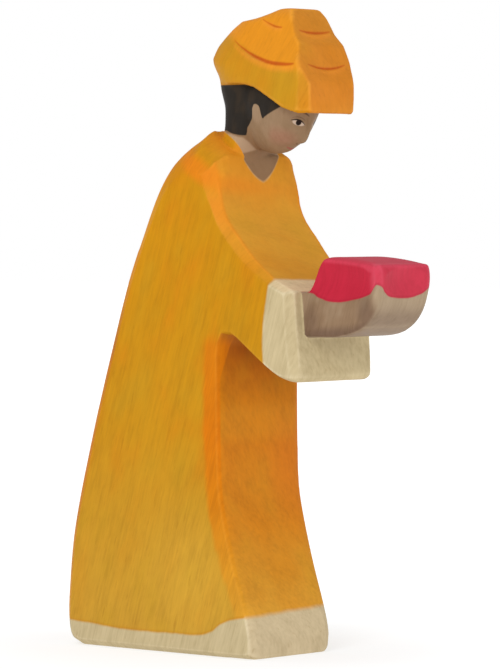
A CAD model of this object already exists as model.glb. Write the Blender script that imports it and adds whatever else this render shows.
"""A wise man of a nativity set, carved from a maple board, stained, and painted with a brush.

Places on the figure are in millimetres, in its own frame: it faces -Y, and its own right side, which
the camera sees, is at -X. Z runs up from the flat underside.
"""

import math

import bmesh
import bpy
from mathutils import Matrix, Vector


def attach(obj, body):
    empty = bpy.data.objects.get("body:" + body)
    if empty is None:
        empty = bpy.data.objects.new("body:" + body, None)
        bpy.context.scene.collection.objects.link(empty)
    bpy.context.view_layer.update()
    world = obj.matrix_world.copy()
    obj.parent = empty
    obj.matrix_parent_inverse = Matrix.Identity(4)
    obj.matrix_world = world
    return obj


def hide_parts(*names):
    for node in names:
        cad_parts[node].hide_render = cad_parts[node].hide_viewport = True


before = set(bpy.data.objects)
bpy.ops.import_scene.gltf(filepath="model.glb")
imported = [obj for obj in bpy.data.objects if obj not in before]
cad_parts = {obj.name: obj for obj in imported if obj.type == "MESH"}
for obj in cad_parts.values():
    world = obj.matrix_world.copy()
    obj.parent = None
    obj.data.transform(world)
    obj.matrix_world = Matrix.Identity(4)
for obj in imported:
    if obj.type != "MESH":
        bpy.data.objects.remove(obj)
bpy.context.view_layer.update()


# Camera: a long lens a little to the figure's right, at the height of its shoulders, so that the
# flat side and the narrower front both show, with hardly any perspective.
CAMERA_PLACE = (-0.6290, -0.5479, 0.0898)
CAMERA_DIP = 1.77
CAMERA_TURN = -49.67
CAMERA_LENS = 220.1
CAMERA_SENSOR = 36.0
CAMERA_NEAREST = 0.05

camera_data = bpy.data.cameras.new("camera")
camera_data.lens = CAMERA_LENS
camera_data.sensor_width = CAMERA_SENSOR
camera_data.clip_start = CAMERA_NEAREST
camera = bpy.data.objects.new("camera", camera_data)
camera.location = CAMERA_PLACE
camera.rotation_euler = (math.radians(90 - CAMERA_DIP), 0.0, math.radians(CAMERA_TURN))
bpy.context.scene.collection.objects.link(camera)
bpy.context.scene.camera = camera
bpy.context.scene.view_settings.view_transform = "Standard"


# Paper: a sheet of matt white studio paper, which the figure stands on. Near the figure it takes a
# soft shadow, and further off it is lit so brightly that it shows as plain white.
MM = 0.001
PAPER_HALF_SIZE = 3.0
PAPER_NEAR, PAPER_FAR = 25.0, 110.0
PAPER_LEAST_GLOW, PAPER_GLOW = 0.55, 1.18
PAPER_COLOUR = (0.92, 0.92, 0.915, 1.0)
PAPER_WHITE = (1.0, 1.0, 1.0, 1.0)


class Amount:
    """A number that changes over a surface, so that node maths reads as Python's own."""

    def __init__(self, recipe, socket):
        self.recipe = recipe
        self.socket = socket

    def worked(self, operation, *numbers):
        sockets = dict(enumerate(numbers))
        return self.recipe.add("ShaderNodeMath", {"operation": operation}, sockets)

    def __add__(self, other):
        return self.worked("ADD", self, other)

    def __radd__(self, other):
        return self.worked("ADD", other, self)

    def __sub__(self, other):
        return self.worked("SUBTRACT", self, other)

    def __rsub__(self, other):
        return self.worked("SUBTRACT", other, self)

    def __mul__(self, other):
        return self.worked("MULTIPLY", self, other)

    def __rmul__(self, other):
        return self.worked("MULTIPLY", other, self)

    def __truediv__(self, other):
        return self.worked("DIVIDE", self, other)

    def __rtruediv__(self, other):
        return self.worked("DIVIDE", other, self)

    def __pow__(self, other):
        return self.worked("POWER", self, other)

    def __neg__(self):
        return self.worked("MULTIPLY", self, -1.0)

    def __abs__(self):
        return self.worked("ABSOLUTE", self)

    def at_least(self, other):
        return self.worked("MAXIMUM", self, other)

    def at_most(self, other):
        return self.worked("MINIMUM", self, other)

    def rise(self, low, high):
        """0 at low and 1 at high, with a soft change between them."""
        settings = {"interpolation_type": "SMOOTHSTEP"}
        sockets = {"Value": self, "From Min": low, "From Max": high}
        return self.recipe.add("ShaderNodeMapRange", settings, sockets)

    def through(self, points):
        """This number led through a smooth curve of (number, result) points."""
        (low, _), (high, _) = points[0], points[-1]
        least = min(result for _, result in points)
        most = max(result for _, result in points)
        line = [((x - low) / (high - low), (y - least) / (most - least)) for x, y in points]
        share = (self - low) / (high - low)
        led = self.recipe.add("ShaderNodeFloatCurve", {"curve": line}, {"Value": share})
        return led * (most - least) + least


class Recipe:
    """The nodes of one material or of one geometry tree."""

    def __init__(self, tree):
        self.tree = tree
        self.tree.nodes.clear()

    def add(self, kind, settings=None, sockets=None, out=0):
        """Any node from its type, its settings, which come first, and its sockets."""
        node = self.tree.nodes.new(kind)
        for key, value in (settings or {}).items():
            if key == "stops":
                ramp = node.color_ramp.elements
                while len(ramp) < len(value):
                    ramp.new(1.0)
                for stop, (place, colour) in zip(ramp, value):
                    stop.position = place
                    stop.color = colour
            elif key == "curve":
                line = node.mapping.curves[0].points
                while len(line) < len(value):
                    line.new(1.0, 1.0)
                for point, place in zip(line, value):
                    point.location = place
                    point.handle_type = "AUTO_CLAMPED"
                node.mapping.extend = "HORIZONTAL"
                node.mapping.update()
            else:
                setattr(node, key, value)
        for key, value in (sockets or {}).items():
            if isinstance(value, Amount):
                self.tree.links.new(value.socket, node.inputs[key])
            else:
                node.inputs[key].default_value = value
        return Amount(self, node.outputs[out]) if node.outputs else None

    def parts(self, vector):
        """The X, Y and Z of a vector."""
        split = self.add("ShaderNodeSeparateXYZ", None, {0: vector}).socket.node
        return [Amount(self, socket) for socket in split.outputs]

    def mixed(self, share, first, second, blend="MIX"):
        """Two colours mixed, with this share of the second."""
        settings = {"data_type": "RGBA", "blend_type": blend}
        return self.add("ShaderNodeMix", settings, {0: share, 6: first, 7: second}, out=2)


def new_material(name):
    """An empty material, and the recipe that fills it."""
    made = bpy.data.materials.new(name)
    made.use_nodes = True
    return made, Recipe(made.node_tree)


paper_material, paper = new_material("white_paper")
paper_place = Amount(paper, paper.add("ShaderNodeTexCoord").socket.node.outputs["Object"])
length = {"operation": "LENGTH"}
paper_distance = paper.add("ShaderNodeVectorMath", length, {0: paper_place}, out=1) / MM
paper_far_share = paper_distance.rise(PAPER_NEAR, PAPER_FAR)
paper_glow = {"Color": PAPER_WHITE, "Strength": PAPER_GLOW}
paper_surface = paper.add(
    "ShaderNodeMixShader",
    None,
    {
        0: PAPER_LEAST_GLOW + (1 - PAPER_LEAST_GLOW) * paper_far_share,
        1: paper.add("ShaderNodeBsdfDiffuse", None, {"Color": PAPER_COLOUR}),
        2: paper.add("ShaderNodeEmission", None, paper_glow),
    },
)
paper.add("ShaderNodeOutputMaterial", None, {"Surface": paper_surface})

paper_mesh = bpy.data.meshes.new("paper")
paper_corners = [(-1, -1, 0), (1, -1, 0), (1, 1, 0), (-1, 1, 0)]
paper_mesh.from_pydata([Vector(c) * PAPER_HALF_SIZE for c in paper_corners], [], [(0, 1, 2, 3)])
paper_mesh.materials.append(paper_material)
paper_sheet = bpy.data.objects.new("paper", paper_mesh)
bpy.context.scene.collection.objects.link(paper_sheet)


# Lamps: white walls all round give an even light, a broad soft box stands beside the camera towards
# the figure's right, and a weaker one lights its front from the other side.
ROOM_LIGHT = 0.50
LAMPS = {
    "soft_box": {"place": (-0.95, -0.35, 0.62), "watts": 5.05, "size": 0.50},
    "front_fill": {"place": (0.25, -0.95, 0.35), "watts": 1.5, "size": 0.60},
    "top_light": {"place": (-0.10, 0.35, 0.95), "watts": 1.6, "size": 0.60},
}
LAMP_TARGET = Vector((0.0, -0.01, 0.065))

for lamp_name, lamp in LAMPS.items():
    lamp_data = bpy.data.lights.new(lamp_name, "AREA")
    lamp_data.energy = lamp["watts"]
    lamp_data.size = lamp["size"]
    lamp_object = bpy.data.objects.new(lamp_name, lamp_data)
    lamp_object.location = lamp["place"]
    aim = LAMP_TARGET - Vector(lamp["place"])
    lamp_object.rotation_euler = aim.to_track_quat("-Z", "Y").to_euler()
    bpy.context.scene.collection.objects.link(lamp_object)

walls = bpy.data.worlds.new("white_walls")
walls.use_nodes = True
wall_recipe = Recipe(walls.node_tree)
seen_directly = wall_recipe.add("ShaderNodeLightPath")
wall_strength = ROOM_LIGHT + seen_directly * (1 - ROOM_LIGHT)
wall_light = wall_recipe.add(
    "ShaderNodeBackground", None, {"Color": PAPER_WHITE, "Strength": wall_strength}
)
wall_recipe.add("ShaderNodeOutputWorld", None, {"Surface": wall_light})
bpy.context.scene.world = walls


# Carving: one piece of maple, sawn from a 24 mm board, cut in along its edges with a knife, and
# sanded by hand. The knife's small flats are sanded soft, the real edges keep a small round, and
# the low corners of foot and cuffs are worn rounder.
SAME_PLACE = 0.001
MESH_SPACING = 0.24
LEAST_EDGE_TURN = 30.0
SANDED_PASSES = 16
EDGE_PASSES = 2
EDGE_KEPT, EDGE_GONE = 0.35, 1.3
CORNERS_BELOW = 58.0
LEAST_CORNER_TURN = 25.0
CORNER_ACROSS = 0.8
CORNER_PASSES = 14
CORNER_FULL, CORNER_GONE = 1.0, 2.6
BULGE_PASSES = 24
WAVE_LENGTH, WAVE_DEPTH = 9.0, 0.09
FOOT_FLAT, FOOT_WAVY = 0.3, 2.5
CARVING_TRIANGLES = 180000

carving_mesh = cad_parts["figure"].data.copy()
carved = bmesh.new()
carved.from_mesh(carving_mesh)
bmesh.ops.remove_doubles(carved, verts=carved.verts[:], dist=SAME_PLACE * MM)
carved.to_mesh(carving_mesh)


def is_knife_edge(edge):
    """An edge that turns so much that the sanding leaves it."""
    return edge.calc_face_angle(0.0) >= math.radians(LEAST_EDGE_TURN)


def is_soft_corner(edge):
    """An edge across the board at the foot or under the cuffs, where hands wear it rounder."""
    run = edge.verts[1].co - edge.verts[0].co
    across = abs(run.x) > CORNER_ACROSS * run.length
    low = max(end.co.z for end in edge.verts) < CORNERS_BELOW * MM
    turned = edge.calc_face_angle(0.0) >= math.radians(LEAST_CORNER_TURN)
    return across and low and turned and edge.is_convex


def edges_alone(name, wanted):
    """An object that holds only these edges of the carving, so that distances to them are known."""
    wires = carved.copy()
    others = [edge for edge in wires.edges if not wanted(edge)]
    bmesh.ops.delete(wires, geom=others, context="EDGES")
    wire_mesh = bpy.data.meshes.new(name)
    wires.to_mesh(wire_mesh)
    wires.free()
    wire_object = bpy.data.objects.new(name, wire_mesh)
    bpy.context.scene.collection.objects.link(wire_object)
    return wire_object


knife_edges = edges_alone("knife_edges", is_knife_edge)
soft_corners = edges_alone("soft_corners", is_soft_corner)
carved.free()

wood_material, wood = new_material("stained_maple")


def sanding_tree():
    """Geometry nodes that sand the carving: soft flats, small rounds on the edges, faint waves."""
    tree = bpy.data.node_groups.new("sanding", "GeometryNodeTree")
    sand = Recipe(tree)
    tree.interface.new_socket("Geometry", in_out="OUTPUT", socket_type="NodeSocketGeometry")
    wanted = {
        "Geometry": "NodeSocketGeometry",
        "Knife edges": "NodeSocketObject",
        "Soft corners": "NodeSocketObject",
        "Edge kept": "NodeSocketFloat",
        "Edge gone": "NodeSocketFloat",
        "Sanded passes": "NodeSocketInt",
        "Edge passes": "NodeSocketInt",
        "Corner full": "NodeSocketFloat",
        "Corner gone": "NodeSocketFloat",
        "Corner passes": "NodeSocketInt",
        "Bulge passes": "NodeSocketInt",
        "Wave length": "NodeSocketFloat",
        "Wave depth": "NodeSocketFloat",
        "Foot flat": "NodeSocketFloat",
        "Foot wavy": "NodeSocketFloat",
        "Material": "NodeSocketMaterial",
    }
    for name, kind in wanted.items():
        tree.interface.new_socket(name, in_out="INPUT", socket_type=kind)
    given = sand.add("NodeGroupInput").socket.node.outputs
    given = {name: Amount(sand, given[name]) for name in wanted}
    distances = {}
    for name in ("Knife edges", "Soft corners"):
        edges = sand.add("GeometryNodeObjectInfo", None, {"Object": given[name]})
        edges = Amount(sand, edges.socket.node.outputs["Geometry"])
        near = sand.add("GeometryNodeProximity", {"target_element": "EDGES"}, {0: edges})
        distances[name] = Amount(sand, near.socket.node.outputs["Distance"])
    flat = distances["Knife edges"].rise(given["Edge kept"], given["Edge gone"])
    worn_round = 1 - distances["Soft corners"].rise(given["Corner full"], given["Corner gone"])
    place = sand.add("GeometryNodeInputPosition")

    def smoothed(passes, weight=1.0):
        """Places evened out between neighbours, as sandpaper does, in this many passes."""
        sockets = {"Value": place, "Iterations": given[passes], "Weight": weight}
        return sand.add("GeometryNodeBlurAttribute", {"data_type": "FLOAT_VECTOR"}, sockets)

    shape = given["Geometry"]
    for passes, weight in (
        ("Sanded passes", flat),
        ("Edge passes", 1.0),
        ("Corner passes", worn_round),
    ):
        shape = sand.add("GeometryNodeSetPosition", None, {0: shape, 2: smoothed(passes, weight)})
    sockets = {"Vector": place, "Scale": 1 / given["Wave length"].at_least(MM), "Detail": 1.0}
    wave = sand.add("ShaderNodeTexNoise", None, sockets)
    height = sand.parts(place)[2].rise(given["Foot flat"], given["Foot wavy"])
    push = (wave - 0.5) * given["Wave depth"] * height
    normal = sand.add("GeometryNodeInputNormal")
    push = sand.add("ShaderNodeVectorMath", {"operation": "SCALE"}, {0: normal, 3: push})
    shape = sand.add("GeometryNodeSetPosition", None, {0: shape, 3: push})
    level = smoothed("Bulge passes")
    height = sand.add("ShaderNodeVectorMath", {"operation": "SUBTRACT"}, {0: place, 1: level})
    dot = {"operation": "DOT_PRODUCT"}
    bulge = sand.add("ShaderNodeVectorMath", dot, {0: height, 1: normal}, out=1) / MM
    stored = {"data_type": "FLOAT", "domain": "POINT"}
    sockets = {"Geometry": shape, "Name": "bulge", "Value": bulge}
    shape = sand.add("GeometryNodeStoreNamedAttribute", stored, sockets)
    shape = sand.add("GeometryNodeSetShadeSmooth", None, {0: shape})
    shape = sand.add("GeometryNodeRealizeInstances", None, {0: shape})
    shape = sand.add("GeometryNodeSetMaterial", None, {0: shape, 2: given["Material"]})
    sand.add("NodeGroupOutput", None, {0: shape})
    return tree


carving = bpy.data.objects.new("carving", carving_mesh)
bpy.context.scene.collection.objects.link(carving)
fine = carving.modifiers.new("fine", "REMESH")
fine.mode = "VOXEL"
fine.voxel_size = MESH_SPACING * MM
sanding = carving.modifiers.new("sanding", "NODES")
sanding.node_group = sanding_tree()
sanding_values = {
    "Knife edges": knife_edges,
    "Soft corners": soft_corners,
    "Edge kept": EDGE_KEPT * MM,
    "Edge gone": EDGE_GONE * MM,
    "Sanded passes": SANDED_PASSES,
    "Edge passes": EDGE_PASSES,
    "Corner full": CORNER_FULL * MM,
    "Corner gone": CORNER_GONE * MM,
    "Corner passes": CORNER_PASSES,
    "Bulge passes": BULGE_PASSES,
    "Wave length": WAVE_LENGTH * MM,
    "Wave depth": WAVE_DEPTH * MM,
    "Foot flat": FOOT_FLAT * MM,
    "Foot wavy": FOOT_WAVY * MM,
    "Material": wood_material,
}
for socket in sanding.node_group.interface.items_tree:
    if socket.name in sanding_values:
        sanding[socket.identifier] = sanding_values[socket.name]
evaluated = carving.evaluated_get(bpy.context.evaluated_depsgraph_get())
thinned_share = CARVING_TRIANGLES / (2 * len(evaluated.data.polygons))
thinned = carving.modifiers.new("thinned", "DECIMATE")
thinned.ratio = min(1.0, thinned_share)
evaluated = carving.evaluated_get(bpy.context.evaluated_depsgraph_get())
figure_mesh = bpy.data.meshes.new_from_object(evaluated)
figure_mesh.name = "wise_man"
wise_man = bpy.data.objects.new("wise_man", figure_mesh)
bpy.context.scene.collection.objects.link(wise_man)
for used in (carving, knife_edges, soft_corners):
    bpy.data.objects.remove(used)


# Bare maple: pale, fine and straight-grained. The grain runs up the board, leaning forward at the
# top, and shows as soft streaks, finer fibres, and short dark flecks. Hem and cuffs are left bare.
GRAIN_LEAN = math.radians(17)
GRAIN_TILT = 0.34
STREAK_SIZES = (26.0, 1.7, 24.0)
BAND_SIZES = (40.0, 6.5, 60.0)
FIBRE_SIZES = (0.9, 0.45, 6.0)
FLECK_SIZES = (0.9, 0.4, 2.8)
MOTTLE_SIZES = (3.0, 2.4, 6.0)
MOTTLE_SHIFT = 7.0
STREAK_SHARE, FIBRE_SHARE, BAND_SHARE, MOTTLE_SHARE = 0.22, 0.35, 0.12, 0.31

# A pair of numbers, here and further on, is where a soft change starts and where it is complete.
FLECK_LEVELS = (0.62, 0.78)
WORN_LEVELS = (0.05, 0.22)
HOLLOW_LEVELS = (0.05, 0.20)
FACING_DOWN = (0.1, 0.5)
FACING_UP = (0.5, 0.9)
FACING_FRONT = (0.25, 0.6)
FACING_BACK = (0.25, 0.7)
UP_FROM_FOOT = (20.0, 40.0)
GRAIN_SHADES = [
    (0.38, (0.84, 0.82, 0.78, 1.0)),
    (0.50, (1.00, 1.00, 1.00, 1.0)),
    (0.62, (1.11, 1.12, 1.14, 1.0)),
]
FLECK_SHADE = (0.80, 0.74, 0.66, 1.0)
MAPLE_WEAR = 0.6
MAPLE_GRAIN, MAPLE_FLECKS = 0.85, 0.45


def stain(red, green, blue):
    """A colour as painters' charts give it, 0 to 255, turned into the light that it sends back."""
    shares = [c / 255 for c in (red, green, blue)]
    light = [s / 12.92 if s <= 0.04045 else ((s + 0.055) / 1.055) ** 2.4 for s in shares]
    return (*light, 1.0)


MAPLE = stain(196, 178, 138)
MAPLE_FRONT = stain(202, 182, 145)
MAPLE_TOP = stain(222, 197, 156)
MAPLE_EDGE = stain(224, 208, 172)

coordinates = wood.add("ShaderNodeTexCoord").socket.node.outputs
place = Amount(wood, coordinates["Object"])
place = wood.add("ShaderNodeVectorMath", {"operation": "SCALE"}, {0: place, 3: 1 / MM})
x, y, z = wood.parts(place)
facing_x, facing_y, facing_z = wood.parts(Amount(wood, coordinates["Normal"]))
out_from_middle = abs(x)
bulge = wood.add("ShaderNodeAttribute", {"attribute_name": "bulge"}, None, out=2)

across_grain = y * math.cos(GRAIN_LEAN) + z * math.sin(GRAIN_LEAN) + x * GRAIN_TILT
along_grain = z * math.cos(GRAIN_LEAN) - y * math.sin(GRAIN_LEAN)


def cloud(sizes, detail=1.0, roughness=0.5, shift=0.0):
    """Soft noise whose blots have these sizes through the board, across the grain and along it."""
    sockets = {
        "X": x / sizes[0] + shift,
        "Y": across_grain / sizes[1],
        "Z": along_grain / sizes[2],
    }
    vector = wood.add("ShaderNodeCombineXYZ", None, sockets)
    sockets = {"Vector": vector, "Scale": 1.0, "Detail": detail, "Roughness": roughness}
    return wood.add("ShaderNodeTexNoise", None, sockets)


streaks = cloud(STREAK_SIZES, detail=2.0)
fibres = cloud(FIBRE_SIZES, detail=2.0, roughness=0.6)
bands = cloud(BAND_SIZES)
mottle = cloud(MOTTLE_SIZES, detail=3.0, roughness=0.65, shift=MOTTLE_SHIFT)
flecks = cloud(FLECK_SIZES).rise(*FLECK_LEVELS)
grain = streaks * STREAK_SHARE + fibres * FIBRE_SHARE + bands * BAND_SHARE + mottle * MOTTLE_SHARE
grain_shade = wood.add("ShaderNodeValToRGB", {"stops": GRAIN_SHADES}, {"Fac": grain})
worn = bulge.rise(*WORN_LEVELS) * (1 - (-facing_z).rise(*FACING_DOWN))
hollow = (-bulge).rise(*HOLLOW_LEVELS)


def grained(colour, share, fleck_share):
    """The wood's grain and flecks showing through a coat of this colour."""
    shown = wood.mixed(share, colour, grain_shade, "MULTIPLY")
    return wood.mixed(flecks * fleck_share, shown, FLECK_SHADE, "MULTIPLY")


front = (-facing_y).rise(*FACING_FRONT)
back = facing_y.rise(*FACING_BACK)
maple = wood.mixed(front * (1 - z.rise(*UP_FROM_FOOT)), MAPLE, MAPLE_FRONT)
maple = wood.mixed(facing_z.rise(*FACING_UP), maple, MAPLE_TOP)
maple = wood.mixed(worn * MAPLE_WEAR, maple, MAPLE_EDGE)
maple = grained(maple, MAPLE_GRAIN, MAPLE_FLECKS)


# Brushwork: a stain is wet and thin, so a border wavers a little, dries darker along its rim, and
# the colour lies in soft patches where the brush was fuller.
WAVER_SIZE, WAVER_DEPTH = 3.5, 0.5
PATCH_SIZES = (11.0, 8.0, 14.0)
SMALL_PATCH_SIZES = (4.5, 3.5, 5.5)
SMALL_PATCH_SHIFT = 31.0
RAGGED_DEPTH = 3.0
TALLEST = 130.0
STROKE_TAPER, STROKE_TIP = 0.6, 0.12

waver = wood.add("ShaderNodeTexNoise", None, {"Vector": place, "Scale": 1 / WAVER_SIZE})
waver = (waver - 0.5) * WAVER_DEPTH
patches = cloud(PATCH_SIZES, detail=2.0)
small_patches = cloud(SMALL_PATCH_SIZES, detail=2.0, shift=SMALL_PATCH_SHIFT)
ragged = (small_patches - 0.5) * RAGGED_DEPTH


def coated(under, mask, coat):
    """A surface with a thin coat brushed over it. A coat is its colour and how fully it covers."""
    coat_colour, fullness = coat
    return wood.mixed(mask * fullness, under, coat_colour)


def by_height(stops):
    """A coat whose colour changes with height: (height, colour) stops, from the foot up."""
    stops = [(height / TALLEST, colour) for height, colour in stops]
    return wood.add("ShaderNodeValToRGB", {"stops": stops}, {"Fac": z / TALLEST})


def arc_line(along, across, start, end, sag, thickness, softness=0.18, lean=0.0):
    """A stroke of the brush's tip: an arc from start to end, thickest near its middle or, with a
    lean, towards its end."""
    share = (along - start[0]) / (end[0] - start[0])
    belly = (share * (1 - share) * 4).at_least(0.0)
    line = start[1] + share * (end[1] - start[1]) - belly * sag
    fullness = belly**STROKE_TAPER * (1 + (share - 0.5) * lean)
    inside = fullness * thickness - abs(across - line)
    return inside.rise(-softness, softness) * belly.rise(0.0, STROKE_TIP)


def oval(across, up, middle, half_width, half_height, softness):
    """A soft-edged oval spot."""
    wide = (across - middle[0]) / half_width
    high = (up - middle[1]) / half_height
    radius = (wide * wide + high * high) ** 0.5
    return 1 - radius.rise(1 - softness, 1 + softness)


# Robe: stained golden yellow on both flat sides and orange on front and back, with the orange
# brushed over the edges onto the sides. It stops short of hem and cuffs, and below the neck.
BOARD_SIDE = 12.0
SIDE_STAIN = [
    (4, stain(198, 149, 48)),
    (14, stain(197, 147, 42)),
    (26, stain(195, 142, 34)),
    (45, stain(194, 137, 20)),
    (70, stain(194, 134, 12)),
    (97, stain(196, 133, 10)),
    (116, stain(194, 136, 24)),
]
FRONT_STAIN = [
    (7, stain(217, 155, 51)),
    (15, stain(208, 143, 40)),
    (27, stain(204, 127, 26)),
    (42, stain(200, 119, 20)),
    (45, stain(203, 128, 26)),
    (49, stain(201, 126, 24)),
    (51, stain(196, 119, 16)),
    (57, stain(186, 108, 12)),
    (62, stain(166, 90, 10)),
    (74, stain(216, 152, 46)),
    (86, stain(216, 154, 50)),
    (94, stain(214, 145, 42)),
    (103, stain(216, 139, 32)),
    (112, stain(212, 130, 38)),
    (121, stain(208, 129, 36)),
    (126, stain(204, 132, 40)),
]
STRIP_STAIN = [
    (8, stain(214, 152, 44)),
    (18, stain(212, 141, 30)),
    (30, stain(212, 124, 8)),
    (44, stain(212, 114, 2)),
    (62, stain(208, 118, 6)),
]
WARM_STAIN = stain(208, 122, 10)
COOL_STAIN = stain(186, 144, 30)
SHOULDER_STAIN = stain(226, 124, 22)
BEVEL_STAIN = stain(222, 143, 34)
RIM_STAIN = stain(182, 106, 14)
WORN_STAIN = stain(240, 166, 62)
WARM_ON_SIDE = (WARM_STAIN, 0.45)
WARM_ON_FRONT = (WARM_STAIN, 0.25)
WARM_ON_BACK = (WARM_STAIN, 0.45)
COOL_ON_SIDE = (COOL_STAIN, 0.38)
COOL_ON_FRONT = (COOL_STAIN, 0.2)
SUNNY_COAT = (stain(212, 164, 56), 0.45)
EMBER_COAT = (stain(204, 104, 26), 0.4)
SHOULDER_COAT = (SHOULDER_STAIN, 0.7)
SHOULDER_ON_BEVEL = (SHOULDER_STAIN, 0.6)
BEVEL_FULLNESS, STRIP_FULLNESS = 0.7, 0.9
WORN_COAT = (WORN_STAIN, 0.12)
HOLLOW_COAT, RIM_COAT = (RIM_STAIN, 0.25), (RIM_STAIN, 0.3)
SIDE_WARM_PATCHES = (0.48, 0.75)
SIDE_COOL_PATCHES = (0.50, 0.75)
FRONT_WARM_PATCHES = (0.45, 0.7)
FRONT_COOL_PATCHES = (0.48, 0.75)
LOW_WARMTH = 0.3
WARMTH_GROWS = (12.0, 45.0)
SUNNY_SPOT = {"middle": (-9.0, 15.0), "half_width": 10.0, "half_height": 11.0, "softness": 0.9}
EMBER_SPOT = {"middle": (10.0, 38.0), "half_width": 6.0, "half_height": 10.0, "softness": 0.8}
SHOULDER_RUN = (0.857, 0.514)
SHOULDER_SPOT = {"middle": (41.5, 88.6), "half_width": 6.6, "half_height": 1.9, "softness": 0.6}
BEVEL_EDGE = (9.6, 10.6)
BEVEL_FOOT = (73.0, 77.0)
BEVEL_WARMS = (73.0, 91.0)
HEM = [
    (-25.5, 8.6),
    (-23.5, 8.4),
    (-20.7, 8.1),
    (-16.8, 6.9),
    (-12.8, 4.7),
    (-9.3, 4.1),
    (-4.5, 4.0),
    (7.7, 4.0),
    (17.3, 4.6),
    (24.0, 5.0),
    (27.0, 5.3),
]
HEM_SLANT, HEM_SLANT_FROM = 0.04, (18.0, 23.0)
CUFF_LINE = [
    (54.0, -28.2),
    (60.2, -27.4),
    (62.8, -27.25),
    (65.7, -27.35),
    (68.7, -27.75),
    (71.7, -28.15),
    (74.6, -28.8),
    (78.0, -29.6),
]
CUFF_SLANT, CUFF_SLANT_FROM = 0.11, (72.0, 75.0)
CUFF_LOWEST, CUFF_FADE = 51.0, 2
COLLAR = [
    (-17.0, 92.0),
    (-15.7, 97.0),
    (-15.5, 101.8),
    (-15.2, 102.8),
    (-14.2, 104.0),
    (-12.2, 105.1),
    (-9.6, 105.6),
    (0.0, 106.5),
]
NECK_POINT = (1.0, 95.2)
NECK_NEAR_BEND = (0.30, 0.125)
NECK_FAR_BEND = (0.35, 0.17)
FRONT_STRIP = [
    (0.0, -23.0),
    (9.6, -19.6),
    (13.7, -17.8),
    (17.6, -16.2),
    (22.5, -14.7),
    (27.5, -13.3),
    (33.4, -12.5),
    (39.4, -12.0),
    (45.4, -11.8),
    (57.0, -11.6),
    (63.0, -12.2),
    (66.0, -14.0),
    (70.0, -28.0),
]
STRIP_RAGGED, STRIP_SOFTNESS = 0.6, (-0.6, 1.0)
STRIP_EDGE, STRIP_EDGE_SOFTNESS = 11.2, (-0.3, 0.2)
STRIP_SLANT, STRIP_SLANT_FROM = 0.35, 56.0
STRIP_TOP = (62.0, 65.5)
SLEEVE_FROM, SLEEVE_ABOVE = (16.2, 17.2), (48.0, 54.0)
BACK_STRIP = [
    (0.0, 26.4),
    (10.0, 25.6),
    (24.0, 22.6),
    (41.0, 17.6),
    (58.0, 12.2),
    (74.8, 7.2),
    (85.0, 3.4),
    (93.8, -0.4),
    (99.0, -4.0),
]
BACK_STRIP_SOFTNESS, BACK_STRIP_FOOT = (-1.2, 2.6), (10.0, 30.0)
BORDER_ON_SIDE, BORDER_ON_FRONT = 0.30, 0.35
RIM_DEPTH = (0.15, 0.75)
RIM_LOST_ON_FRONT = 0.7
RIM_LOST_ABOVE, RIM_HEIGHTS = 0.7, (30.0, 50.0)
CHEST_FROM = (66.0, 74.0)
ROBE_GRAIN, CHEST_GRAIN_LOST = 0.75, 0.35
ROBE_FLECKS, FRONT_FLECKS_LOST = 0.5, 0.25
HIGH_FLECKS_LOST, HIGH_ON_ROBE = 0.2, (25.0, 60.0)

# Each border is how deep a place lies inside it: above the hem, behind the cuff's line, or under
# the collar. The least of them is how deep it lies in the stain.
hem_slant = HEM_SLANT * (x + BOARD_SIDE) * (-y).rise(*HEM_SLANT_FROM)
hem = z - y.through(HEM) - hem_slant
cuff_slant = CUFF_SLANT * (x + BOARD_SIDE) * z.rise(*CUFF_SLANT_FROM)
cuff = y - z.through(CUFF_LINE) + cuff_slant
far_side_of_v = (x - NECK_POINT[0]).at_least(0.0)
near_side_of_v = (NECK_POINT[0] - x).at_least(0.0)
neck_v = far_side_of_v * (far_side_of_v * NECK_FAR_BEND[1] + NECK_FAR_BEND[0])
neck_v = neck_v + near_side_of_v * (near_side_of_v * NECK_NEAR_BEND[1] + NECK_NEAR_BEND[0])
collar = (neck_v + NECK_POINT[1]).at_least(y.through(COLLAR)) - z
robe_depth = hem.at_most(cuff.at_least((CUFF_LOWEST - z) * CUFF_FADE)).at_most(collar)
border = BORDER_ON_SIDE + front * BORDER_ON_FRONT
robe = (robe_depth + waver).rise(-1 * border, border)
robe_rim = robe * (1 - robe_depth.rise(*RIM_DEPTH)) * (1 - front * RIM_LOST_ON_FRONT)
robe_rim = robe_rim * (1 - z.rise(*RIM_HEIGHTS) * RIM_LOST_ABOVE)

warmth = LOW_WARMTH + z.rise(*WARMTH_GROWS) * (1 - LOW_WARMTH)
side_stain = by_height(SIDE_STAIN)
side_stain = coated(side_stain, patches.rise(*SIDE_WARM_PATCHES) * warmth, WARM_ON_SIDE)
side_stain = coated(side_stain, (1 - patches).rise(*SIDE_COOL_PATCHES), COOL_ON_SIDE)
side_stain = coated(side_stain, oval(y, z, **SUNNY_SPOT), SUNNY_COAT)
front_stain = by_height(FRONT_STAIN)
front_stain = coated(front_stain, patches.rise(*FRONT_WARM_PATCHES), WARM_ON_FRONT)
front_stain = coated(front_stain, (1 - patches).rise(*FRONT_COOL_PATCHES), COOL_ON_FRONT)
strip = z.through(FRONT_STRIP) - y + ragged * STRIP_RAGGED
strip = strip.rise(*STRIP_SOFTNESS)
near_edge = out_from_middle - STRIP_EDGE + (z - STRIP_SLANT_FROM).at_least(0.0) * STRIP_SLANT
near_edge = near_edge.rise(*STRIP_EDGE_SOFTNESS)
strip = strip * (1 - z.rise(*STRIP_TOP)) * (1 - front * (1 - near_edge))
strip = strip * (1 - (-y).rise(*SLEEVE_FROM) * z.rise(*SLEEVE_ABOVE))
back_strip = y - z.through(BACK_STRIP) + ragged * STRIP_RAGGED
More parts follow.
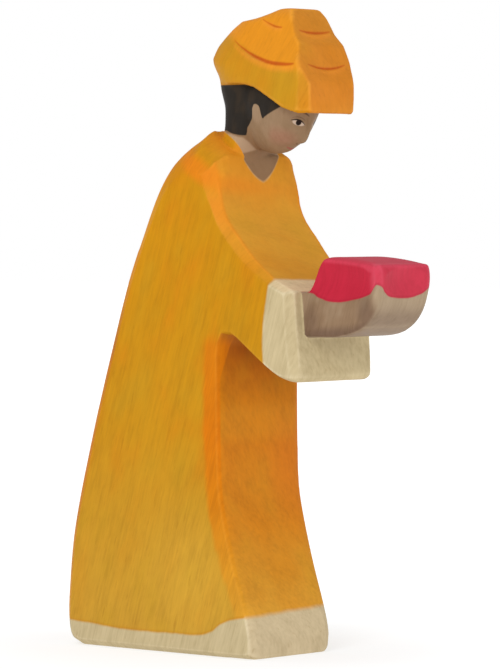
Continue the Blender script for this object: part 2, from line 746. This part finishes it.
back_strip = back_strip.rise(*BACK_STRIP_SOFTNESS) * z.rise(*BACK_STRIP_FOOT)
along_shoulder = y * SHOULDER_RUN[0] + z * SHOULDER_RUN[1]
over_shoulder = z * SHOULDER_RUN[0] - y * SHOULDER_RUN[1]
shoulder = oval(along_shoulder, over_shoulder, **SHOULDER_SPOT)
bevel = front * out_from_middle.rise(*BEVEL_EDGE) * z.rise(*BEVEL_FOOT)
bevel_stain = coated(BEVEL_STAIN, z.rise(*BEVEL_WARMS), SHOULDER_ON_BEVEL)
robe_colour = wood.mixed(front.at_least(back), side_stain, front_stain)
robe_colour = coated(robe_colour, back_strip, WARM_ON_BACK)
robe_colour = coated(robe_colour, oval(x, z, **EMBER_SPOT) * front, EMBER_COAT)
robe_colour = coated(robe_colour, shoulder, SHOULDER_COAT)
robe_colour = coated(robe_colour, bevel, (bevel_stain, BEVEL_FULLNESS))
robe_colour = coated(robe_colour, strip, (by_height(STRIP_STAIN), STRIP_FULLNESS))
robe_colour = coated(robe_colour, worn, WORN_COAT)
robe_colour = coated(robe_colour, hollow, HOLLOW_COAT)
robe_colour = coated(robe_colour, robe_rim, RIM_COAT)
chest = front * z.rise(*CHEST_FROM)
robe_grain = ROBE_GRAIN - chest * CHEST_GRAIN_LOST
robe_flecks = ROBE_FLECKS - front * FRONT_FLECKS_LOST - z.rise(*HIGH_ON_ROBE) * HIGH_FLECKS_LOST
robe_colour = grained(robe_colour, robe_grain, robe_flecks)
colour = wood.mixed(robe, maple, robe_colour)


# Skin and hair: thin brown paint on neck and face and nearly black paint for the hair, with a
# sliver of bare wood left at the side of the neck. The ear is only a gap in the hair.
SKIN = stain(141, 115, 87)
SKIN_THIN = stain(164, 136, 108)
SKIN_PATCHES = (SKIN_THIN, 0.35)
EAR_COAT = (SKIN_THIN, 0.5)
SKIN_WEAR = (SKIN_THIN, 0.2)
NECK_COAT = (stain(138, 104, 72), 0.6)
BARE_NECK_COAT = (stain(164, 130, 106), 0.75)
HAIR = stain(41, 36, 31)
HAIR_PATCHES = (stain(66, 52, 37), 0.35)
HAIR_GRAIN, HAIR_FLECKS = 0.9, 0.2
THIN_SKIN, THIN_HAIR = (0.4, 0.7), (0.48, 0.68)
HAIR_LINE = [
    (-32.0, 113.0),
    (-27.2, 110.2),
    (-25.8, 109.4),
    (-24.4, 108.6),
    (-23.2, 107.9),
    (-22.65, 107.6),
    (-22.45, 109.4),
    (-22.1, 110.2),
    (-21.3, 110.5),
    (-20.6, 110.0),
    (-20.2, 108.8),
    (-19.8, 107.7),
    (-18.9, 106.9),
    (-17.8, 106.1),
    (-17.2, 104.8),
    (-16.8, 104.3),
    (-14.9, 104.6),
    (-12.0, 105.4),
    (-9.6, 105.4),
    (-6.0, 105.4),
]
HAIR_WAVER, HAIR_SOFTNESS = 0.3, (-0.12, 0.16)
COLLAR_SOFTNESS = (-0.3, 0.3)
BARE_TOP = [
    (-18.0, 104.0),
    (-16.5, 104.0),
    (-15.1, 104.3),
    (-12.7, 105.4),
    (-9.6, 105.8),
    (-6.0, 105.8),
]
BARE_LOW, BARE_LOW_SLOPE = 100.3, 0.27
BARE_HIGH, BARE_HIGH_SLOPE, BARE_END = 101.5, 0.69, 1.6
BARE_WAVER, BARE_SOFTNESS = 0.5, (-0.25, 0.3)
BARE_FRONT = (17.5, 18.1)
NECK_HALF_WIDTH = 6.0
EAR_SPOT = {"middle": (-21.2, 108.7), "half_width": 1.2, "half_height": 2.1, "softness": 0.4}
NECK_FROM = (-18.5, -17.3)

# The bare sliver lies above the collar and a low line, and below the hair's edge and a high line.
above_robe = 1 - (collar - waver).rise(*COLLAR_SOFTNESS)
hair_depth = z - y.through(HAIR_LINE)
hair = (hair_depth + waver * HAIR_WAVER).rise(*HAIR_SOFTNESS)
in_from_neck_side = NECK_HALF_WIDTH - out_from_middle
bare_low = z - y.through(COLLAR).at_least(BARE_LOW + in_from_neck_side * BARE_LOW_SLOPE)
bare_high = BARE_HIGH + (out_from_middle - BARE_END) * BARE_HIGH_SLOPE
bare_high = y.through(BARE_TOP).at_most(bare_high) - z
bare = (bare_low.at_most(bare_high) + waver * BARE_WAVER).rise(*BARE_SOFTNESS)
bare = bare * (1 - (-y).rise(*BARE_FRONT))
skin = coated(SKIN, small_patches.rise(*THIN_SKIN), SKIN_PATCHES)
skin = coated(skin, oval(y, z, **EAR_SPOT), EAR_COAT)
skin = coated(skin, worn, SKIN_WEAR)
hair_colour = coated(HAIR, small_patches.rise(*THIN_HAIR), HAIR_PATCHES)
hair_colour = grained(hair_colour, HAIR_GRAIN, HAIR_FLECKS)


# Face: a calm, general one in the middle of the head's front, painted with the tip of a brush. Eyes
# lie at half the head's height, with brow, mouth and a little red on the cheeks.
HEAD_MIDDLE = (0.0, -21.9, 110.9)
HEAD_BOW = math.radians(32)
FACE_DEPTH = (3.5, 5.0)
FACE_GRAIN, FACE_FLECKS = 0.5, 0.25
EYE_WHITE = stain(196, 176, 156)
EYE_DARK = stain(34, 24, 20)
LINE_BROWN = stain(74, 52, 42)
LIPS = stain(158, 86, 80)
CHEEK_COAT = (stain(176, 108, 94), 0.28)
CHEEK = {"middle": (3.4, -4.3), "half_width": 2.0, "half_height": 1.8, "softness": 0.8}
WHITE = {"middle": (2.45, 0.0), "half_width": 1.15, "half_height": 0.55, "softness": 0.14}
IRIS = {"middle": (2.45, 0.1), "half_width": 0.52, "half_height": 0.62, "softness": 0.14}
NOSTRIL = {"middle": (0.5, -4.55), "half_width": 0.28, "half_height": 0.16, "softness": 0.4}
LID = {"start": (1.15, -0.05), "end": (3.95, 0.05), "sag": -0.62, "thickness": 0.16, "softness": 0.1}
CREASE = {"start": (1.3, 0.75), "end": (3.9, 0.65), "sag": -0.55, "thickness": 0.07, "softness": 0.1}
BROW = {"start": (0.95, 1.9), "end": (4.4, 1.8), "sag": -0.6, "thickness": 0.2, "softness": 0.14}
MOUTH = {"start": (-1.5, -6.0), "end": (1.5, -6.0), "sag": 0.25, "thickness": 0.26, "softness": 0.12}
FACE_MARKS = [
    (oval, WHITE, (EYE_WHITE, 1.0)),
    (oval, IRIS, (EYE_DARK, 1.0)),
    (arc_line, LID, (EYE_DARK, 1.0)),
    (arc_line, CREASE, (LINE_BROWN, 0.6)),
    (arc_line, BROW, (LINE_BROWN, 0.85)),
    (oval, NOSTRIL, (LINE_BROWN, 0.6)),
    (arc_line, MOUTH, (LIPS, 0.8)),
]

settings = {"vector_type": "TEXTURE"}
sockets = {"Vector": place, "Location": HEAD_MIDDLE, "Rotation": (HEAD_BOW, 0.0, 0.0)}
face_x, face_y, face_z = wood.parts(wood.add("ShaderNodeMapping", settings, sockets))
face_side = abs(face_x)
face_front = (-face_y).rise(*FACE_DEPTH)
skin = coated(skin, oval(face_side, face_z, **CHEEK) * face_front, CHEEK_COAT)
skin = grained(skin, FACE_GRAIN, FACE_FLECKS)
for brush, mark, coat in FACE_MARKS:
    skin = coated(skin, brush(face_side, face_z, **mark) * face_front, coat)
skin = coated(skin, y.rise(*NECK_FROM), NECK_COAT)
bare_neck_colour, bare_neck_fullness = BARE_NECK_COAT
bare_neck = wood.mixed(bare_neck_fullness, maple, bare_neck_colour)
head_colour = wood.mixed(bare, skin, bare_neck)
head_colour = wood.mixed(hair, head_colour, hair_colour)
colour = wood.mixed(above_robe, colour, head_colour)


# Turban: stained like the robe, yellow round the rim and orange over the rolls. Each V-shaped cut
# between two rolls has red-brown stain run into it.
RIM = [
    (-36.0, 108.4),
    (-33.0, 108.4),
    (-29.4, 109.35),
    (-25.75, 111.45),
    (-22.1, 113.55),
    (-18.5, 114.5),
    (-6.0, 114.5),
]
CUTS = {
    "side_low": {"start": (-15.2, 123.5), "end": (-32.6, 118.3), "sag": 1.7, "thickness": 0.34},
    "side_high": {"start": (-21.9, 127.4), "end": (-27.6, 125.6), "sag": 0.4, "thickness": 0.14},
    "front_high": {"start": (-4.9, 125.0), "end": (4.9, 125.0), "sag": 0.5, "thickness": 0.24},
    "front_low": {"start": (-5.6, 118.2), "end": (6.4, 118.4), "sag": 0.9, "thickness": 0.22},
    "back": {"start": (-5.4, 120.6), "end": (5.4, 120.6), "sag": 1.0, "thickness": 0.28},
}
CUT_COAT = (stain(184, 74, 12), 0.85)
GLOW_COAT = (stain(240, 146, 48), 0.45)
ROLL_COAT = (stain(222, 140, 28), 0.9)
RIDGE_COAT = (WORN_STAIN, 0.45)
TURBAN_RIM_COAT = (RIM_STAIN, 0.35)
CUT_WAVER, CUT_SOFTNESS, CUT_LEAN = 0.45, 0.26, 1.1
GLOW_BELOW, GLOW_THICKNESS, GLOW_SOFTNESS = 2.4, 1.8, 0.7
ROLL_LINE = [
    (-37.0, 116.2),
    (-30.4, 117.2),
    (-26.5, 117.7),
    (-22.6, 119.4),
    (-19.1, 121.1),
    (-15.5, 123.4),
    (-6.0, 125.5),
]
ROLL_RAGGED, ROLL_SOFTNESS = 0.5, (-0.9, 1.2)
HEAD_IN_TURBAN = {"half_width": 7.7, "front": -33.8, "back": -18.4}
TUCKED_HEIGHT, TUCKED_SOFTNESS = 3.2, (-0.3, 0.3)
TUCKED_FACING_DOWN = (0.3, 0.6)
TURBAN_SOFTNESS, TURBAN_RIM = (-0.2, 0.1), (0.1, 0.6)
TURBAN_FRONT_FACING, TURBAN_SIDE_FACING = (0.35, 0.98), (0.35, 0.6)
CUTS_FRONT_FROM, CUTS_BACK_FROM = (24.0, 26.0), (-16.0, -14.0)
RIDGE_PATCHES = (0.3, 0.62)
RIDGE_FROM = (-22.0, -25.0)
TURBAN_GRAIN, TURBAN_FLECKS = 0.5, 0.4

rim_height = y.through(RIM)
head_tucked = (HEAD_IN_TURBAN["half_width"] - out_from_middle).at_most(y - HEAD_IN_TURBAN["front"])
head_tucked = head_tucked.at_most(HEAD_IN_TURBAN["back"] - y).rise(*TUCKED_SOFTNESS)
tucked = head_tucked * (1 - (-facing_z).rise(*TUCKED_FACING_DOWN))
turban = (z - rim_height - tucked * TUCKED_HEIGHT).rise(*TURBAN_SOFTNESS)
roll = (z - y.through(ROLL_LINE) + ragged * ROLL_RAGGED).rise(*ROLL_SOFTNESS)
turban_colour = coated(side_stain, roll, ROLL_COAT)
turban_colour = wood.mixed((-facing_y).rise(*TURBAN_FRONT_FACING), turban_colour, front_stain)
on_side = abs(facing_x).rise(*TURBAN_SIDE_FACING)
cut_faces = {
    "side": (y, on_side, CUT_LEAN),
    "front": (x, (-y).rise(*CUTS_FRONT_FROM) * (1 - on_side), 0.0),
    "back": (x, y.rise(*CUTS_BACK_FROM) * (1 - on_side), 0.0),
}
cut_marks = []
for cut_name, cut in CUTS.items():
    run, here, lean = cut_faces[cut_name.split("_")[0]]
    ends = (cut["start"], cut["end"], cut["sag"])
    thickness = cut["thickness"]
    line_mark = arc_line(run, z + waver * CUT_WAVER, *ends, thickness, CUT_SOFTNESS, lean)
    glow = (thickness * GLOW_THICKNESS, GLOW_SOFTNESS, lean)
    glow_mark = arc_line(run, z + thickness * GLOW_BELOW, *ends, *glow)
    cut_marks.append((line_mark * here, glow_mark * here))
ridge_wear = worn * small_patches.rise(*RIDGE_PATCHES) * y.rise(*RIDGE_FROM)
turban_colour = coated(turban_colour, ridge_wear, RIDGE_COAT)
for line_mark, glow_mark in cut_marks:
    turban_colour = coated(turban_colour, glow_mark, GLOW_COAT)
for line_mark, glow_mark in cut_marks:
    turban_colour = coated(turban_colour, line_mark, CUT_COAT)
turban_rim = 1 - (z - rim_height).rise(*TURBAN_RIM)
turban_colour = coated(turban_colour, turban_rim, TURBAN_RIM_COAT)
turban_colour = grained(turban_colour, TURBAN_GRAIN, TURBAN_FLECKS)
colour = wood.mixed(turban, colour, turban_colour)


# Hands and gift: the hands are painted like the skin, darker along their lower edge, and the gift
# that they hold is crimson, pinker along its upper edge and where its two hollows meet.
HANDS_BACK = [
    (60.0, -36.3),
    (64.5, -35.9),
    (72.0, -35.2),
    (73.3, -34.9),
    (74.2, -34.9),
    (76.0, -35.5),
    (83.0, -36.0),
]
HANDS_BACK_SKEW = 0.058
HANDS_KEEL = [
    (-54.2, 73.5),
    (-52.7, 70.2),
    (-51.6, 68.2),
    (-49.4, 66.4),
    (-47.0, 65.4),
    (-36.0, 65.0),
]
HANDS_HALF_WIDTH, HANDS_LOW, HANDS_TOP = 8.5, 64.1, 83.0
HANDS_PAST_SIDE, HANDS_SOFTNESS = 0.12, (-0.12, 0.08)
HANDS_FRONT_FROM, HANDS_SIDE_FACING = (51.5, 53.3), (0.3, 0.7)
GIFT_SIDE = [
    (-55.0, 74.8),
    (-53.4, 74.2),
    (-50.9, 72.8),
    (-46.9, 71.8),
    (-43.2, 71.4),
    (-38.9, 72.2),
    (-36.6, 73.2),
    (-33.0, 73.4),
]
GIFT_FRONT = [
    (-9.0, 75.2),
    (-7.4, 74.5),
    (-6.2, 73.3),
    (-3.9, 72.4),
    (0.7, 72.2),
    (4.3, 72.7),
    (7.2, 73.9),
    (9.0, 75.4),
]
GIFT_BAND = [
    (-55.0, 78.3),
    (-53.6, 78.1),
    (-52.6, 77.0),
    (-51.4, 77.2),
    (-49.5, 78.2),
    (-45.2, 78.7),
    (-41.6, 79.0),
    (-36.0, 79.4),
]
HANDS_SIDE, HANDS_FRONT = stain(141, 114, 88), stain(168, 146, 119)
HANDS_PATCHES, THIN_HANDS = (HANDS_FRONT, 0.3), (0.45, 0.7)
HANDS_DARK = stain(98, 74, 62)
KEEL_DARK, KEEL_HEIGHT = 0.65, 2.2
KEEL_RAGGED = 0.25
UNDER_DARK, UNDER_FACING = 0.5, (0.6, 0.98)
CORNER_DARK, CUFF_DARK = 0.5, 0.4
CORNER_SPOT = {"middle": (-50.6, 69.2), "half_width": 1.9, "half_height": 3.2, "softness": 0.7}
CUFF_SPOT = {"middle": (-36.6, 67.0), "half_width": 1.9, "half_height": 3.2, "softness": 0.7}
HANDS_GRAIN, HANDS_FLECKS = 0.8, 0.4
GIFT_RED, GIFT_RED_FRONT = stain(188, 37, 59), stain(199, 54, 74)
GIFT_PINK = stain(222, 84, 106)
BAND_FULLNESS, RIDGE_FULLNESS = 0.35, 0.6
GIFT_RIM_COAT = (stain(160, 22, 46), 0.4)
GIFT_WAVER, GIFT_SOFTNESS = 0.5, (-0.18, 0.18)
GIFT_RIM = (0.1, 0.7)
BAND_SOFTNESS = (-0.3, 0.5)
GIFT_RIDGE, RIDGE_REACH = (7.5, -52.6), (0.5, 2.0)
RIDGE_DEPTH_SHARE = 0.8
GIFT_GRAIN, GIFT_FLECKS = 0.5, 0.25

hands_depth = z.through(HANDS_BACK) - x * HANDS_BACK_SKEW - y
hands_depth = hands_depth.at_most(HANDS_HALF_WIDTH + HANDS_PAST_SIDE - out_from_middle)
hands_depth = hands_depth.at_most(z - HANDS_LOW).at_most(HANDS_TOP - z)
hands = hands_depth.rise(*HANDS_SOFTNESS)
at_front = (-y).rise(*HANDS_FRONT_FROM)
gift_line = y.through(GIFT_SIDE) * (1 - at_front) + x.through(GIFT_FRONT) * at_front
gift_depth = z - gift_line
gift = (gift_depth + waver * GIFT_WAVER).rise(*GIFT_SOFTNESS)
not_side = at_front.at_least(1 - abs(facing_x).rise(*HANDS_SIDE_FACING))
hand_colour = wood.mixed(not_side, HANDS_SIDE, HANDS_FRONT)
hand_colour = coated(hand_colour, small_patches.rise(*THIN_HANDS), HANDS_PATCHES)
low_edge = 1 - (z - y.through(HANDS_KEEL) + ragged * KEEL_RAGGED).rise(0.0, KEEL_HEIGHT)
dark_marks = low_edge * (1 - not_side) * KEEL_DARK
dark_marks = dark_marks.at_least((-facing_z).rise(*UNDER_FACING) * UNDER_DARK)
dark_marks = dark_marks.at_least(oval(y, z, **CORNER_SPOT) * CORNER_DARK)
dark_marks = dark_marks.at_least(oval(y, z, **CUFF_SPOT) * CUFF_DARK)
hand_colour = wood.mixed(dark_marks, hand_colour, HANDS_DARK)
hand_colour = grained(hand_colour, HANDS_GRAIN, HANDS_FLECKS)
gift_colour = wood.mixed(at_front, GIFT_RED, GIFT_RED_FRONT)
upper_band = (z - y.through(GIFT_BAND)).rise(*BAND_SOFTNESS)
from_ridge = abs(out_from_middle - GIFT_RIDGE[0]) + abs(y - GIFT_RIDGE[1]) * RIDGE_DEPTH_SHARE
ridge = 1 - from_ridge.rise(*RIDGE_REACH)
pink = (upper_band * BAND_FULLNESS).at_least(ridge * RIDGE_FULLNESS)
gift_colour = wood.mixed(pink, gift_colour, GIFT_PINK)
gift_colour = coated(gift_colour, 1 - gift_depth.rise(*GIFT_RIM), GIFT_RIM_COAT)
gift_colour = grained(gift_colour, GIFT_GRAIN, GIFT_FLECKS)
hand_colour = wood.mixed(gift, hand_colour, gift_colour)
colour = wood.mixed(hands, colour, hand_colour)


# Surface: thin water stain leaves the wood matt, and the fuller paint on head, hands and gift is a
# little smoother. Raised fibres and the brush's marks give it its fine relief.
ROUGH_STAIN, ROUGH_PAINT, ROUGH_SPREAD = 0.60, 0.50, 0.10
FIBRE_RISE, STREAK_RISE, FLECK_RISE = 0.6, 0.3, -0.2
FIBRE_RELIEF = 0.035
FIBRE_STRENGTH = 0.55
STAIN_IOR, STAIN_SHEEN = 1.45, 0.10

fuller_paint = above_robe.at_least(hands)
roughness = ROUGH_STAIN + (ROUGH_PAINT - ROUGH_STAIN) * fuller_paint + (fibres - 0.5) * ROUGH_SPREAD
relief = fibres * FIBRE_RISE + streaks * STREAK_RISE + flecks * FLECK_RISE
bump = wood.add(
    "ShaderNodeBump",
    None,
    {"Strength": FIBRE_STRENGTH, "Distance": FIBRE_RELIEF * MM, "Height": relief},
)
surface = wood.add(
    "ShaderNodeBsdfPrincipled",
    None,
    {
        "Base Color": colour,
        "Roughness": roughness,
        "Metallic": 0.0,
        "IOR": STAIN_IOR,
        "Specular IOR Level": STAIN_SHEEN,
        "Normal": bump,
    },
)
wood.add("ShaderNodeOutputMaterial", None, {"Surface": surface})

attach(wise_man, "root")
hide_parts("figure")
